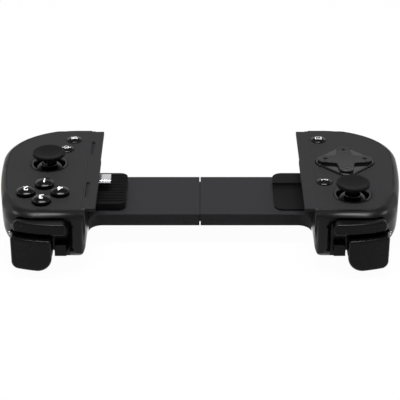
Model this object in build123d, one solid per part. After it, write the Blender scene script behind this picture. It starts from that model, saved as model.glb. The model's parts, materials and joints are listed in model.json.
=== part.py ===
from build123d import *

import math
import os

# A phone game controller that stretches over a phone, shown closed. Millimetres.
# X runs across it to the player's left, Y from the shoulder keys to the player, Z up.
# Everything is modelled about the faceplate's top plane and the phone's centre line,
# and moved at the end so that the origin is under the middle, on the table.
# One grip is modelled on the +X side, and the other is its mirror image.

# Overall
closed_width = 205.0
body_depth = 99.2
grip_width = 46.2
rest_drop = 31.5
trigger_reach = 7.0
overrun = 20.0
running_gap = 0.05
slide_gap = 0.15
key_gap = 0.2
part_gap = 0.1

# Grip outline, seen from above
half_width = closed_width / 2
half_depth = body_depth / 2
front_y = -half_depth
back_y = half_depth - 1.6
inner_wall_x = half_width - grip_width
crown_radius = 38.65
cheek_radius = 32.9
crown_share = 0.62
flank_radius = 243.0
shoulder_radius = 17.5
shoulder_turn = -26.0
outer_turn = -50.0
inner_corner_radius = 4.5

# Grip shell
shell_wall = 1.8
top_round = 6.6
side_round = 3.0
shoulder_drop = 25.2
shoulder_round = 13.5
near_bottom_round = 7.5
inner_bottom_round = 8.0
palm_inset = 1.5
palm_inner_inset = 2.2
palm_front_y = front_y + 29.6
palm_front_radius = 18.0
palm_inner_radius = 14.0
palm_round = 10.0
palm_top = -8.0
cover_inset = 4.0
cover_cut_top = -18.0

# Faceplate and its overhanging tab
plate_thick = 1.8
plate_margin = 2.9
plate_inset = 6.8
plate_edge = 0.15
ledge_width = 1.4
ledge_thick = 1.5
tab_x = inner_wall_x - 4.9
tab_span_shares = (-0.8427, 0.8851)
tab_root_x = inner_wall_x + 1.9
tab_step = 0.35
tab_step_y = 10.0
slot_x = inner_wall_x + 0.2
slot_width = 1.7
slot_depth = 1.3
slot_span_shares = ((0.3306, 0.6492), (-0.6048, -0.2702))

# Main board and the posts that clamp it
board_top = -14.4
board_thick = 1.2
board_inset = 3.2
board_x = inner_wall_x + 2.7
board_near_y = front_y + 12.1
post_shares = ((0.5130, 0.6653), (0.6970, -0.1915), (0.2316, -0.1472))
post_radius = 2.5
post_nose_radius = 2.0
post_nose_length = 4.0
boss_radius = 3.0
screw_radius = 1.0
screw_length = 9.0
screw_head_radius = 2.0
screw_head_thick = 1.4
screw_floor = 2.0
drive_radius = 0.9
drive_depth = 0.8

# Sticks
stick_shares = {"left": (0.4264, -0.5524), "right": (0.4675, 0.119)}
stick_pivot_z = -11.0
stick_dome_radius = 12.0
stick_dome_wall = 1.2
stick_dome_angle = 56.0
stick_neck_radius = 3.6
stick_cap_radius = 8.35
stick_cap_low = 4.4
stick_cap_edge = 5.6
stick_cap_top = 7.2
stick_cap_foot_radius = 5.2
stick_dish_radius = 21.0
stick_rim_width = 1.1
stick_stud_radius = 2.4
stick_stud_top = 5.3
stick_post_radius = 1.6
stick_pin_radius = 0.9
stick_pin_half = 3.4
ring_radius = 9.5
ring_flange_radius = 10.6
ring_flange_thick = 1.0
ring_stand = 0.35
ring_crest = 0.5
ring_throat_radius = 7.8
ring_throat_z = -0.6
yoke_half = 4.2
yoke_slot_half = 2.2
yoke_slot_reach = 1.8
yoke_height = 2.6
yoke_pin_radius = 1.1
yoke_pin_reach = 5.9
carrier_half = 6.4
carrier_opening_half = 4.8
carrier_height = 4.2
module_half = 7.3
module_corner = 1.5
module_wall = 0.6
module_height = 7.0
module_hole_radius = 5.5

# Face buttons and small keys
button_share = (0.4752, -0.5343)
button_pitch = 8.5
button_radius = 4.7
button_stand = 3.3
button_crown = 1.3
button_round = 0.45
button_flange = 0.8
flange_thick = 0.8
flange_drop = 0.25
stem_radius = 1.9
switch_half = 2.4
switch_height = 2.9
plunger_radius = 1.1
plunger_height = 0.5
button_travel = 0.75
key_radius = 3.95
key_stand = 1.4
key_crown = 1.0
key_shares = {
    "left": {"upper": (0.1472, 0.6794), "lower": (0.1450, -0.2823)},
    "right": {"upper": (0.2316, 0.6794), "lower": (0.3030, 0.4577)},
}

# Direction pad
pad_share = (0.4069, 0.1563)
pad_reach = 15.0
pad_corner = 6.0
pad_skirt_stand = 0.8
pad_skirt_round = 0.6
pad_flange = 0.9
pad_flange_top = -3.4
pad_flange_thick = 0.9
pad_gap = 0.4
pad_arm_reach = 14.2
pad_arm_root = 5.0
pad_arm_tip = 3.6
pad_arm_hollow = 1.6
pad_arm_stand = 2.3
pad_arm_round = 0.5
pad_dish_depth = 0.4
pad_dent_reach = 10.4
pad_dent_width = 2.6
pad_dent_depth = 0.35
pad_ball_radius = 2.0
pad_post_radius = 2.8
pad_post_gap = 0.5
pad_peg_reach = 9.6
pad_peg_radius = 1.4

# Shoulder recess, bumper, side key and trigger
recess_x = inner_wall_x + 7.7
recess_end_x = half_width - 10.1
recess_top = -2.3
recess_floor_y = front_y + 4.0
recess_corner = 3.4
recess_wall = 1.6
bumper_gap = 0.7
bumper_top = -2.9
bumper_low = -9.1
bumper_front = (
    (recess_x + 1.0, front_y - 3.9),
    (inner_wall_x + 22.2, front_y - 3.3),
    (recess_end_x - 1.0, front_y + 0.4),
)
bumper_back_y = front_y + 2.65
bumper_round = 1.3
bumper_corner = 2.5
bumper_pivot = (half_width - 13.5, front_y + 6.5)
bumper_pin_radius = 1.4
bumper_arm_half = 1.0
bumper_arm_top = -4.3
bumper_arm_low = -8.1
bumper_nub_x = inner_wall_x + 13.2
bumper_nub_radius = 1.1
bumper_travel = 0.9
bumper_block_half = 3.0
side_key_x = (inner_wall_x + 9.4, inner_wall_x + 15.2)
side_key_z = (-22.3, -15.9)
side_key_front_y = front_y - 0.4
side_key_round = 0.4
side_key_travel = 0.6
side_key_stem_half = 1.4
shoulder_board_y = recess_floor_y + 4.0
shoulder_switch_reach = 1.4
trigger_x = (inner_wall_x + 16.1, half_width - 9.7)
trigger_front = (
    (trigger_x[0], front_y - trigger_reach),
    (sum(trigger_x) / 2, front_y - 5.5),
    (trigger_x[1], front_y - 2.3),
)
trigger_top = -10.6
trigger_low = -28.0
trigger_lip_y = front_y + 1.0
trigger_back_y = front_y + 4.6
trigger_knee_z = -21.0
trigger_round = 1.5
trigger_inner_round = 8.0
trigger_outer_round = 3.5
trigger_pivot = (front_y + 7.2, -13.2)
trigger_root_radius = 2.6
trigger_pin_radius = 1.0
trigger_pin_inset = 1.0
well_gap = 0.45
well_wall = 1.2
well_top = -9.9
well_back_y = front_y + 10.6
spring_wire = 0.25
spring_radius = 2.0
spring_turns = 5
spring_pitch = 0.75
spring_x = sum(trigger_x) / 2
spring_pocket_radius = 3.4

# Bridge
bridge_half = 20.4
bridge_top = -15.1
bridge_thick = 6.7
bridge_gap = 0.55
bridge_edge = 0.45
flare_radius = 6.8
root_skin = 0.6
tongue_x = inner_wall_x + 7.2
tongue_side_wall = 1.3
tongue_skin = 0.55
tongue_end_wall = 0.9
rail_half = 17.55
rail_drop = 1.5
rail_rise = 1.0
rail_half_length = tongue_x - 2.0
bridge_travel = 34.0
stop_x = rail_half_length - bridge_travel - 3.5
stop_radius = 1.5
stop_skin = 1.0
bridge_spring_y = 11.0
bridge_spring_radius = 1.3
bridge_spring_wire = 0.35
spring_slot_half = 1.45
spring_slot_start = 3.0

# Phone pads
phone_pad_half = 16.75
phone_pad_x = inner_wall_x - 18.4
phone_pad_top = -11.0
phone_pad_corner = 4.0
rib_pitch = 1.7
rib_groove = 0.7
rib_depth = 0.4
low_pad_top = -14.3
low_pad_y = 5.6
low_pad_corner = 5.0
pad_wall_gap = 0.1

# Phone plug
plug_y = 0.4
plug_z = -6.0
plug_width = 8.34
plug_thick = 2.56
plug_wall = 0.3
plug_reach = 6.65
plug_tip_x = inner_wall_x - 10.3
plug_seat = 2.0
boot_width = 11.2
boot_thick = 5.4
boot_round = 2.0
boot_end_x = inner_wall_x + 2.7
tongue_width = 6.6
tongue_thick = 0.7
tongue_recess = 1.2

diagonal = math.sqrt(2)


def block(x, y, z):
    """A box between the two values of each pair."""
    size = [abs(pair[1] - pair[0]) for pair in (x, y, z)]
    centre = [sum(pair) / 2 for pair in (x, y, z)]
    return Pos(*centre) * Box(*size)


def post(spot, z, radius):
    """An upright cylinder at a place in plan, between two heights."""
    return Pos(spot[0], spot[1], sum(z) / 2) * Cylinder(radius, abs(z[1] - z[0]))


def rod_x(y, z, x, radius):
    """A cylinder along X between the two values of x."""
    return Pos(sum(x) / 2, y, z) * Rot(0, 90, 0) * Cylinder(radius, abs(x[1] - x[0]))


def upright(plan, low, high):
    """A plan outline raised from one height to another."""
    return extrude(Pos(0, 0, low) * plan, amount=high - low, dir=(0, 0, 1))


def edges_at(shape, height, beyond_x=0.0):
    """The edges that lie at a height, further out than an X."""
    level = [e for e in shape.edges() if abs(e.bounding_box().min.Z - height) < running_gap]
    level = [e for e in level if abs(e.bounding_box().max.Z - height) < running_gap]
    return [e for e in level if e.center().X > beyond_x]


def edges_before(shape, y):
    """The edges that lie wholly on the shoulder side of a Y."""
    return [e for e in shape.edges() if e.bounding_box().max.Y < y - running_gap]


def arc_between(centre, radius, start, end):
    """An arc about a centre from one direction to another, both in degrees."""
    return CenterArc(centre, radius, start, end - start)


def heading(start, end):
    return math.degrees(math.atan2(end[1] - start[1], end[0] - start[0]))


def place_of(share):
    """A place on the grip, from its shares of the grip's width and half depth."""
    return inner_wall_x + share[0] * grip_width, share[1] * half_depth


post_spots = [place_of(share) for share in post_shares]
stick_spot = {side: place_of(share) for side, share in stick_shares.items()}
button_spot = place_of(button_share)
pad_spot = place_of(pad_share)
key_spots = {
    side: {name: place_of(share) for name, share in shares.items()}
    for side, shares in key_shares.items()
}
slot_spans = [(low * half_depth, high * half_depth) for low, high in slot_span_shares]
tab_span = [share * half_depth for share in tab_span_shares]


def outline_centres():
    """Centres of the outline's crown, cheek, flank and shoulder arcs."""
    cheek_x = half_width - cheek_radius
    crown_x = cheek_x - crown_share * (crown_radius - cheek_radius)
    crown = (crown_x, back_y - crown_radius)
    step = math.sqrt((crown_radius - cheek_radius) ** 2 - (cheek_x - crown_x) ** 2)
    cheek = (cheek_x, crown[1] + step)
    flank = (half_width - flank_radius, cheek[1])
    shoulder_y = -half_depth + shoulder_radius
    step = math.sqrt((flank_radius - shoulder_radius) ** 2 - (cheek[1] - shoulder_y) ** 2)
    return crown, cheek, flank, (flank[0] + step, shoulder_y)


def grip_face(inset, inner_x):
    """The grip seen from above, taken in by an inset, open-ended towards the bridge."""
    crown, cheek, flank, shoulder = outline_centres()
    far = back_y - inset
    near = front_y + inset
    join = heading(crown, cheek)
    dip = heading(flank, shoulder)
    edges = [
        Line((inner_x, far), (crown[0], far)),
        arc_between(crown, crown_radius - inset, 90, join),
        arc_between(cheek, cheek_radius - inset, join, 0),
        arc_between(flank, flank_radius - inset, 0, dip),
        arc_between(shoulder, shoulder_radius - inset, dip, -90),
        Line((shoulder[0], near), (inner_x, near)),
        Line((inner_x, near), (inner_x, far)),
    ]
    return Face(Wire(edges))


def outer_face(inset, inner_x):
    """The grip in plan with its shoulder corner run on straight, past the near side."""
    crown, cheek, flank, shoulder = outline_centres()
    far = back_y - inset
    join = heading(crown, cheek)
    dip = heading(flank, shoulder)
    turn = math.radians(outer_turn)
    radius = shoulder_radius - inset
    leave = (shoulder[0] + radius * math.cos(turn), shoulder[1] + radius * math.sin(turn))
    near = (inner_x, leave[1] + (leave[0] - inner_x) / math.tan(turn))
    edges = [
        Line((inner_x, far), (crown[0], far)),
        arc_between(crown, crown_radius - inset, 90, join),
        arc_between(cheek, cheek_radius - inset, join, 0),
        arc_between(flank, flank_radius - inset, 0, dip),
        arc_between(shoulder, shoulder_radius - inset, dip, outer_turn),
        Line(leave, near),
        Line(near, (inner_x, far)),
    ]
    return Face(Wire(edges))


def near_face(inset):
    """The near side and the shoulder corner in plan, leaving the grip's outline on the outside."""
    x, y = outline_centres()[3]
    radius = shoulder_radius - inset
    near = front_y + inset
    turn = math.radians(shoulder_turn)
    leave = (x + radius * math.cos(turn), y + radius * math.sin(turn))
    far = (leave[0] - body_depth * math.sin(turn), leave[1] + body_depth * math.cos(turn))
    start = -half_width
    edges = [
        Line((start, near), (x, near)),
        arc_between((x, y), radius, -90, shoulder_turn),
        Line(leave, far),
        Line(far, (start, far[1])),
        Line((start, far[1]), (start, near)),
    ]
    return Face(Wire(edges))


def palm_face(inset):
    """The palm swell seen from above, taken in by an inset."""
    crown, cheek, flank, shoulder = outline_centres()
    inset += palm_inset
    inner = inner_wall_x + palm_inner_inset + inset - palm_inset
    outer = cheek[0] + cheek_radius - inset
    near = palm_front_y + inset - palm_inset
    front = palm_front_radius - inset + palm_inset
    back = palm_inner_radius - inset + palm_inset
    join = heading(crown, cheek)
    # The corner beside the phone runs into the crown without a straight between them
    step = math.sqrt((crown_radius - inset - back) ** 2 - (inner + back - crown[0]) ** 2)
    corner = (inner + back, crown[1] + step)
    meet = heading(crown, corner)
    edges = [
        arc_between(crown, crown_radius - inset, meet, join),
        arc_between(cheek, cheek_radius - inset, join, 0),
        Line((outer, cheek[1]), (outer, near + front)),
        arc_between((outer - front, near + front), front, 0, -90),
        Line((outer - front, near), (inner + front, near)),
        arc_between((inner + front, near + front), front, -90, -180),
        Line((inner, near + front), (inner, corner[1])),
        arc_between(corner, back, 180, meet),
    ]
    return Face(Wire(edges))


def inner_end_trim(inset, low):
    """Keeps what lies beyond the wall that faces the phone, with its corners rounded."""
    inner = inner_wall_x + inset
    reach = 2 * half_width
    plan_radius = inner_corner_radius - inset
    plan = RectangleRounded(reach, back_y - front_y - 2 * inset, plan_radius)
    middle = Pos(inner + reach / 2, (back_y + front_y) / 2)
    plan = upright(middle * plan, low - overrun, reach)
    side_radius = inner_bottom_round - inset
    side = RectangleRounded(reach, reach, side_radius)
    side = Plane.XZ * Pos(inner + reach / 2, low + reach / 2) * side
    return plan & extrude(side, reach, both=True)


def body_block(inset, top, top_radius):
    """The grip's outer form, or its hollow, taken in by an inset."""
    low = -shoulder_drop + inset
    start = inner_wall_x - overrun
    form = upright(outer_face(inset, start), low, top)
    form = fillet(edges_at(form, top, start + overrun / 4), side_round * top_radius / top_round)
    form = fillet(edges_at(form, low, start + overrun / 4), shoulder_round - inset)
    near = upright(near_face(inset), low, top)
    for height, radius in ((top, top_radius), (low, near_bottom_round - inset)):
        rim = [e for e in edges_at(near, height, -half_width) if e.center().Y < half_depth]
        near = fillet(rim, radius)
    form = form & near & inner_end_trim(inset, low)
    base = -rest_drop + inset
    swell = upright(palm_face(inset), base, palm_top)
    swell = fillet(edges_at(swell, base), palm_round - inset)
    root = block(
        (inner_wall_x + inset, inner_wall_x + inner_bottom_round),
        (inset - bridge_half, bridge_half - inset),
        (bridge_top - bridge_thick - root_skin + inset, palm_top),
    )
    return form + root + swell


def cover_prism(inset, top):
    """The upright column that the palm cover is cut out with."""
    base = -rest_drop - overrun
    return upright(palm_face(cover_inset + inset), base, top)


def build_shell():
    """The grip's hollow wall, before it is cut into a housing and a palm cover."""
    hollow_top = -plate_thick - ledge_thick
    hollow = body_block(shell_wall, hollow_top, top_round - shell_wall)
    return body_block(0, 0, top_round) - hollow


def plate_outline(inset, inner_x):
    """The faceplate's outline, close to the grip's edge outside and further in on the near side."""
    plan = Sketch() + grip_face(plate_margin + inset, inner_x)
    return plan & near_face(plate_inset + inset)


def plate_face(gap):
    """The faceplate seen from above, with its overhanging tab."""
    plan = plate_outline(-gap, tab_root_x - gap)
    tab_low = tab_span[0] - gap
    tab_high = tab_span[1] + gap
    tab_end = tab_root_x + ledge_width
    tab_middle = Pos((tab_x + tab_end) / 2, (tab_low + tab_high) / 2)
    tab = tab_middle * Rectangle(tab_end - tab_x, tab_high - tab_low)
    return Sketch() + plan + tab


def build_faceplate(side):
    plate = upright(plate_face(0), -plate_thick, 0)
    step = block((0, tab_x + tab_step), (tab_step_y, half_depth), (-overrun, overrun))
    plate = plate - step
    plate = chamfer(edges_at(plate, 0), plate_edge)
    for spot in post_spots:
        plate += post(spot, (board_top, -plate_thick), post_radius)
        nose_low = board_top - post_nose_length
        plate += post(spot, (nose_low, board_top), post_nose_radius)
        plate -= post(spot, (nose_low - overrun, board_top + screw_floor), screw_radius)
    x, y = stick_spot[side]
    plate -= post((x, y), (-overrun, overrun), ring_radius + part_gap)
    for key in key_spots[side].values():
        plate -= post(key, (-plate_thick - running_gap, overrun), key_radius + key_gap)
    if side == "right":
        for spot in button_places():
            plate -= post(spot, (-plate_thick - running_gap, overrun), button_radius + key_gap)
        for low, high in slot_spans:
            slot = SlotOverall(high - low, slot_width, rotation=90)
            plate -= upright(Pos(slot_x, (low + high) / 2) * slot, -slot_depth, overrun)
    else:
        opening = Pos(*pad_spot) * pad_diamond(pad_gap)
        plate -= upright(opening, -plate_thick - running_gap, overrun)
    return plate


def shoulder_recess():
    """The recess that holds the bumper, the side key and the trigger's top."""
    width = recess_end_x - recess_x
    height = 2 * rest_drop
    opening = RectangleRounded(width, height, recess_corner)
    opening = Plane.XZ * Pos(recess_x + width / 2, recess_top - height / 2) * opening
    return Pos(0, recess_floor_y, 0) * extrude(opening, overrun)


def trigger_well():
    low, high = trigger_x
    return block(
        (low - well_gap, high + well_gap),
        (-body_depth, well_back_y),
        (-2 * rest_drop, well_top),
    )


def bumper_block_cut():
    """The open socket that the bumper's hinge post snaps into."""
    x, y = bumper_pivot
    z = (bumper_arm_low - running_gap, bumper_arm_top + running_gap)
    socket = post((x, y), z, bumper_pin_radius + running_gap)
    swing = bumper_arm_half + 2 * key_gap
    mouth = block((x - swing, x + swing), (recess_floor_y - overrun, y), z)
    return socket + mouth


def build_housing(side, shell):
    outside = body_block(0, 0, top_round)
    housing = shell - cover_prism(-part_gap, cover_cut_top)
    front = recess_floor_y + recess_wall
    fill = block(
        (recess_x - recess_wall, half_width),
        (-body_depth, front),
        (-rest_drop, -plate_thick - ledge_thick),
    )
    well_low, well_high = trigger_x[0] - well_gap, trigger_x[1] + well_gap
    fill += block(
        (well_low - well_wall, half_width),
        (-body_depth, well_back_y + well_wall),
        (-rest_drop, well_top + well_wall),
    )
    x, y = bumper_pivot
    fill += block(
        (x - bumper_block_half, x + bumper_block_half),
        (front, y + bumper_block_half),
        (well_top, -plate_thick - ledge_thick),
    )
    housing += fill & outside
    housing -= shoulder_recess()
    housing -= trigger_well()
    housing -= bumper_block_cut()
    pin_x = (well_low - well_wall + trigger_pin_inset / 2, well_high + trigger_pin_inset)
    housing -= rod_x(*trigger_pivot, pin_x, trigger_pin_radius + running_gap)
    nub_z = (bumper_top + bumper_low) / 2
    nub_hole = Cylinder(bumper_nub_radius + 2 * key_gap, 2 * overrun)
    housing -= Pos(bumper_nub_x, recess_floor_y, nub_z) * Rot(90, 0, 0) * nub_hole
    key_x, key_z = sum(side_key_x) / 2, sum(side_key_z) / 2
    reach = side_key_stem_half + key_gap
    housing -= block(
        (key_x - reach, key_x + reach),
        (recess_floor_y - overrun / 4, shoulder_board_y),
        (key_z - reach, key_z + reach),
    )
    # Pocket and opening for the faceplate
    housing -= upright(plate_face(running_gap), -plate_thick, overrun)
    opening = plate_outline(ledge_width, inner_wall_x + shell_wall)
    housing -= upright(opening, -plate_thick - 2 * ledge_thick, overrun)
    tab_room = block(
        (tab_x, inner_wall_x + shell_wall + overrun),
        (tab_span[0] - part_gap, tab_span[1] + part_gap),
        (-plate_thick, overrun),
    )
    housing -= tab_room
    # Passage for the bridge
    housing -= tongue_block(part_gap, inner_wall_x - overrun, inner_wall_x + overrun)
    if side == "right":
        housing -= boot_block(part_gap, inner_wall_x - overrun, inner_wall_x + overrun)
    return housing


def build_palm_cover(shell):
    cover = shell & cover_prism(part_gap, cover_cut_top)
    outside = body_block(0, 0, top_round)
    board_low = board_top - board_thick
    for spot in post_spots:
        boss = post(spot, (-rest_drop, board_low), boss_radius)
        cover += boss & outside
        cover -= post(spot, (board_top - post_nose_length - part_gap, 0), post_nose_radius + running_gap)
        cover -= post(spot, (-2 * rest_drop, 0), screw_radius + part_gap)
        cover -= post(spot, (-2 * rest_drop, screw_seat_z()), screw_head_radius + part_gap)
    return cover


def screw_seat_z():
    """The height that the case screws' heads bear on."""
    return board_top - post_nose_length - part_gap - screw_floor


def build_case_screws():
    seat = screw_seat_z()
    screws = []
    for spot in post_spots:
        screw = post(spot, (seat - screw_head_thick, seat), screw_head_radius)
        screw += post(spot, (seat, seat + screw_length - screw_head_thick), screw_radius - running_gap)
        head_low = seat - screw_head_thick
        screw -= upright(Pos(*spot) * RegularPolygon(drive_radius, 6), head_low, head_low + drive_depth)
        screws.append(screw)
    return screws


def build_main_board(side):
    plan = grip_face(shell_wall + board_inset, board_x)
    plan = upright(plan, board_top - board_thick, board_top)
    board = plan & block((board_x, half_width), (board_near_y, half_depth), (-rest_drop, 0))
    for spot in post_spots:
        board -= post(spot, (-rest_drop, 0), post_nose_radius + part_gap)
    return board


def switch_at(spot):
    """A push switch on the main board."""
    body_top = board_top + switch_height
    body = block(
        (spot[0] - switch_half, spot[0] + switch_half),
        (spot[1] - switch_half, spot[1] + switch_half),
        (board_top, body_top),
    )
    return body + post(spot, (body_top, body_top + plunger_height), plunger_radius)


def switch_top():
    return board_top + switch_height + plunger_height


def button_places():
    x, y = button_spot
    reach = button_pitch
    return [(x, y + reach), (x + reach, y), (x, y - reach), (x - reach, y)]


def pad_peg_places():
    x, y = pad_spot
    reach = pad_peg_reach
    return [(x, y + reach), (x + reach, y), (x, y - reach), (x - reach, y)]


def build_switches(side):
    places = button_places() if side == "right" else pad_peg_places()
    return [switch_at(spot) for spot in places + list(key_spots[side].values())]


def build_push_key(spot, radius, stand, crown, travel_room):
    """A round key: domed top, flange under the faceplate and a stem to its switch."""
    flange_top = -plate_thick - flange_drop
    flange_low = flange_top - flange_thick
    key = post(spot, (flange_low, stand), radius)
    dome_radius = (radius**2 + crown**2) / (2 * crown)
    dome = Pos(spot[0], spot[1], stand - dome_radius) * Sphere(dome_radius)
    key = key & dome
    key = fillet(edges_at(key, stand - crown), min(button_round, crown))
    key += post(spot, (flange_low, flange_top), radius + button_flange)
    key += post(spot, (switch_top() + travel_room, flange_low), stem_radius)
    return key


def pad_diamond(grow):
    """The direction pad's rounded diamond, grown by a gap."""
    reach = pad_reach + pad_corner * (diagonal - 1)
    side = reach * diagonal
    return RectangleRounded(side + 2 * grow, side + 2 * grow, pad_corner + grow, rotation=45)


def pad_arm():
    """One tapered arm with a round tip, pointing along +X."""
    tip_x = pad_arm_reach - pad_arm_tip
    arm = Polygon(
        (0, pad_arm_root),
        (tip_x, pad_arm_tip),
        (tip_x, -pad_arm_tip),
        (0, -pad_arm_root),
        align=None,
    )
    return arm + Pos(tip_x, 0) * Circle(pad_arm_tip)


def build_direction_pad():
    skirt_low = pad_flange_top - pad_flange_thick
    skirt = upright(pad_diamond(0), skirt_low, pad_skirt_stand)
    skirt = fillet(edges_at(skirt, pad_skirt_stand, -half_width), pad_skirt_round)
    skirt += upright(pad_diamond(pad_flange), skirt_low, pad_flange_top)
    cross = pad_arm()
    for turn in (90, 180, 270):
        cross += Rot(0, 0, turn) * pad_arm()
    roots = [v for v in cross.vertices() if math.hypot(v.X, v.Y) < 2 * pad_arm_root]
    cross = upright(fillet(roots, pad_arm_hollow), 0, pad_arm_stand)
    cross = fillet(edges_at(cross, pad_arm_stand, -half_width), pad_arm_round)
    dish_radius = (pad_arm_reach**2 + pad_dish_depth**2) / (2 * pad_dish_depth)
    dish_z = pad_arm_stand - pad_dish_depth + dish_radius
    cross -= Pos(0, 0, dish_z) * Sphere(dish_radius)
    dent = Polygon(
        (pad_dent_width / 2, 0),
        (-pad_dent_width / 2, pad_dent_width / 2),
        (-pad_dent_width / 2, -pad_dent_width / 2),
        align=None,
    )
    dent_floor = pad_arm_stand - pad_dent_depth - pad_dish_depth / 2
    for turn in (0, 90, 180, 270):
        spot = Rot(0, 0, turn) * Pos(pad_dent_reach, 0)
        cross -= upright(spot * dent, dent_floor, overrun)
    pad = skirt + cross
    for spot in pad_peg_places():
        place = (spot[0] - pad_spot[0], spot[1] - pad_spot[1])
        pad += post(place, (switch_top() + button_travel, skirt_low), pad_peg_radius)
    pad -= Pos(0, 0, skirt_low) * Sphere(pad_ball_radius + running_gap)
    return Pos(*pad_spot, 0) * pad


def pad_pivot_z():
    return pad_flange_top - pad_flange_thick


def build_pad_ball():
    return Pos(*pad_spot, pad_pivot_z()) * Sphere(pad_ball_radius)


def build_pad_post():
    top = pad_pivot_z() - pad_post_gap
    stand = post(pad_spot, (board_top, top), pad_post_radius)
    return stand - Pos(*pad_spot, pad_pivot_z()) * Sphere(pad_ball_radius + running_gap)


def turned(points):
    """A solid of revolution from (radius, height) points."""
    outline = Polygon(*points, align=None)
    return revolve(Plane.XZ * outline, Axis.Z)


def build_stick_ring(spot):
    ring = turned([
        (ring_throat_radius + ring_crest, -plate_thick - ring_flange_thick),
        (ring_flange_radius, -plate_thick - ring_flange_thick),
        (ring_flange_radius, -plate_thick),
        (ring_radius, -plate_thick),
        (ring_radius, 0),
        (ring_radius - ring_crest / 2, ring_stand),
        (ring_throat_radius + ring_crest, ring_stand),
        (ring_throat_radius, ring_throat_z),
        (ring_throat_radius, ring_throat_z - ring_crest / 2),
        (ring_throat_radius + ring_crest, -plate_thick),
    ])
    dome = Pos(0, 0, stick_pivot_z) * Sphere(stick_dome_radius + key_gap)
    return Pos(*spot, 0) * (ring - dome)


def build_stick_base(spot):
    """The stick's hard core: dome, neck, stud for the cap and post to the gimbal."""
    pivot = stick_pivot_z
    ball = Sphere(stick_dome_radius) - Sphere(stick_dome_radius - stick_dome_wall)
    rim = stick_dome_radius * math.cos(math.radians(stick_dome_angle))
    reach = 2 * stick_dome_radius
    ball = ball & block((-reach, reach), (-reach, reach), (rim, reach))
    base = Pos(0, 0, pivot) * ball
    dome_top = pivot + stick_dome_radius
    base += post((0, 0), (dome_top - stick_dome_wall, stick_cap_low), stick_neck_radius)
    base += post((0, 0), (stick_cap_low, stick_stud_top), stick_stud_radius)
    base += post((0, 0), (pivot - stick_post_radius, dome_top), stick_post_radius)
    cross = Rot(90, 0, 0) * Cylinder(stick_pin_radius, 2 * stick_pin_half)
    base += Pos(0, 0, pivot) * cross
    return Pos(*spot, 0) * base


def build_stick_cap(spot):
    """The soft cap with a dished top and a raised rim."""
    radius = stick_cap_radius
    cap = turned([
        (0, stick_cap_low),
        (stick_cap_foot_radius, stick_cap_low),
        (radius, stick_cap_edge),
        (radius, stick_cap_top),
        (0, stick_cap_top),
    ])
    cap = fillet(edges_at(cap, stick_cap_top, -half_width), stick_rim_width / 2)
    dish_edge = radius - stick_rim_width
    depth = stick_dish_radius - math.sqrt(stick_dish_radius**2 - dish_edge**2)
    dish_z = stick_cap_top - depth + stick_dish_radius
    cap -= Pos(0, 0, dish_z) * Sphere(stick_dish_radius)
    cap -= post((0, 0), (stick_cap_low, stick_stud_top), stick_stud_radius)
    return Pos(*spot, 0) * cap


def build_stick_yoke(spot):
    """The gimbal's inner frame, with two stub axles along X."""
    half = yoke_half
    yoke = Box(2 * half, 2 * half, yoke_height)
    bore = Rot(90, 0, 0) * Cylinder(stick_pin_radius + running_gap, 2 * (stick_pin_half + running_gap))
    yoke -= bore
    for way in (-1, 1):
        reach = (way * (half - yoke_pin_radius), way * yoke_pin_reach)
        yoke += rod_x(0, 0, reach, yoke_pin_radius)
    yoke -= Box(2 * yoke_slot_half, 2 * yoke_slot_reach, overrun)
    return Pos(*spot, stick_pivot_z) * yoke


def build_stick_carrier(spot):
    """The gimbal's outer frame, which sinks a little when the stick is pressed."""
    opening = carrier_opening_half
    half = carrier_half
    plan = RectangleRounded(2 * half, 2 * half, module_corner - module_wall)
    carrier = upright(plan, -carrier_height / 2, carrier_height / 2)
    carrier -= Box(2 * opening, 2 * opening, overrun)
    bore_x = yoke_pin_reach + running_gap
    carrier -= rod_x(0, 0, (-bore_x, bore_x), yoke_pin_radius + running_gap)
    return Pos(*spot, stick_pivot_z) * carrier


def build_stick_module(spot):
    """The metal can that the gimbal works in, standing on the main board."""
    half = module_half
    inside = half - module_wall
    z = (board_top, board_top + module_height)
    can = upright(RectangleRounded(2 * half, 2 * half, module_corner), *z)
    room = RectangleRounded(2 * inside, 2 * inside, module_corner - module_wall)
    can -= upright(room, z[0] + module_wall, z[1] - module_wall)
    can -= post((0, 0), (z[0] + module_wall, overrun), module_hole_radius)
    return Pos(*spot, 0) * can


def arc_front_face(points, back_y):
    """A plan outline with a curved front through three points and a straight back."""
    start, middle, end = points
    edges = [
        ThreePointArc(start, middle, end),
        Line(end, (end[0], back_y)),
        Line((end[0], back_y), (start[0], back_y)),
        Line((start[0], back_y), start),
    ]
    return Face(Wire(edges))


def build_bumper():
    start_x = recess_x + bumper_gap + key_gap
    front = ((start_x, bumper_front[0][1]),) + bumper_front[1:]
    bar = upright(arc_front_face(front, bumper_back_y), bumper_low, bumper_top)
    width = front[2][0] - start_x
    height = bumper_top - bumper_low
    shape = Pos(start_x + width / 2, bumper_low + height / 2)
    shape *= RectangleRounded(width, height, bumper_corner)
    bar = bar & extrude(Plane.XZ * shape, body_depth)
    bar = fillet(edges_before(bar, bumper_back_y), bumper_round)
    x, y = bumper_pivot
    z = (bumper_arm_low, bumper_arm_top)
    bar += block((x - bumper_arm_half, x + bumper_arm_half), (bumper_back_y - bumper_round, y), z)
    bar += post((x, y), z, bumper_pin_radius)
    nub_y = (bumper_back_y - bumper_round, shoulder_board_y - shoulder_switch_reach - bumper_travel)
    nub = Rot(90, 0, 0) * Cylinder(bumper_nub_radius, nub_y[1] - nub_y[0])
    bar += Pos(bumper_nub_x, sum(nub_y) / 2, (bumper_top + bumper_low) / 2) * nub
    return bar


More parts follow.
